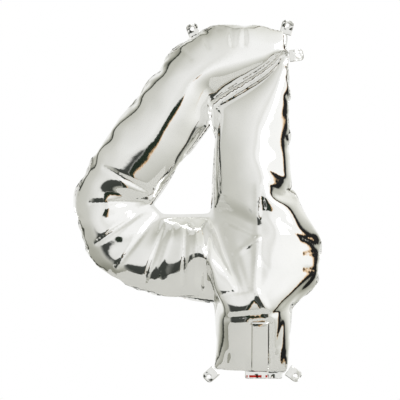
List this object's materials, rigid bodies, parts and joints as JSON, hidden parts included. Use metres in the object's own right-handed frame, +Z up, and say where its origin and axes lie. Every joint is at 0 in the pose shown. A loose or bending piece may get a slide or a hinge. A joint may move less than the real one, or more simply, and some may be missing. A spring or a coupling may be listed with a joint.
{
  "type": "foil number balloon, digit four",
  "caption": "Inflated silver foil balloon shaped as the digit four, with a welded seam, a filling tongue and hanging tabs.",
  "frame": {"origin": "centre of the punched hole in the tab at the end of the arm's head, where the balloon hangs", "axes": "+Z up along the digit's stem, +X to the right seen from the front, the digit's front faces -Y; the seam lies in the plane Y = 0"},
  "size_m": [0.2683, 0.077, 0.3698],
  "materials": {
    "foil": "mirror-bright metallised film, crumpled at the seams",
    "valve_film": "clear flexible film"
  },
  "bodies": {
    "balloon": {"front_film": "foil", "rear_film": "foil", "seam_band": "foil", "valve_front_ply": "valve_film", "hang_tab_head": "foil"},
    "valve_flap": {"valve_rear_ply": "valve_film"},
    "tongue": {"filling_tongue": "foil"},
    "tab_arm": {"hang_tab_arm": "foil"},
    "tab_stem": {"hang_tab_stem": "foil"},
    "tab_base_left": {"hang_tab_base_left": "foil"},
    "tab_base_right": {"hang_tab_base_right": "foil"}
  },
  "joints": [
    {"name": "valve_open", "type": "hinge", "parent": "balloon", "child": "valve_flap", "pos_m": [-0.02831, -0.0035, -0.34656], "axis": [-1, 0, 0], "range_deg": [0, 6], "stiffness_Nm_per_rad": 0.00005},
    {"name": "tongue_fold", "type": "hinge", "parent": "balloon", "child": "tongue", "pos_m": [-0.02431, 0, -0.35526], "axis": [1, 0, 0], "range_deg": [-60, 60], "stiffness_Nm_per_rad": 0.00002},
    {"name": "tab_arm_fold", "type": "hinge", "parent": "balloon", "child": "tab_arm", "pos_m": [-0.09472, 0, -0.00913], "axis": [-0.9272, 0, -0.3746], "range_deg": [-75, 75], "stiffness_Nm_per_rad": 0.00001},
    {"name": "tab_stem_fold", "type": "hinge", "parent": "balloon", "child": "tab_stem", "pos_m": [0.0051, 0, -0.03105], "axis": [-0.1392, 0, 0.9903], "range_deg": [-75, 75], "stiffness_Nm_per_rad": 0.00001},
    {"name": "tab_base_left_fold", "type": "hinge", "parent": "balloon", "child": "tab_base_left", "pos_m": [-0.07556, 0, -0.35404], "axis": [0.6691, 0, -0.7431], "range_deg": [-75, 75], "stiffness_Nm_per_rad": 0.00001},
    {"name": "tab_base_right_fold", "type": "hinge", "parent": "balloon", "child": "tab_base_right", "pos_m": [0.00322, 0, -0.35369], "axis": [0.5736, 0, 0.8192], "range_deg": [-75, 75], "stiffness_Nm_per_rad": 0.00001}
  ]
}
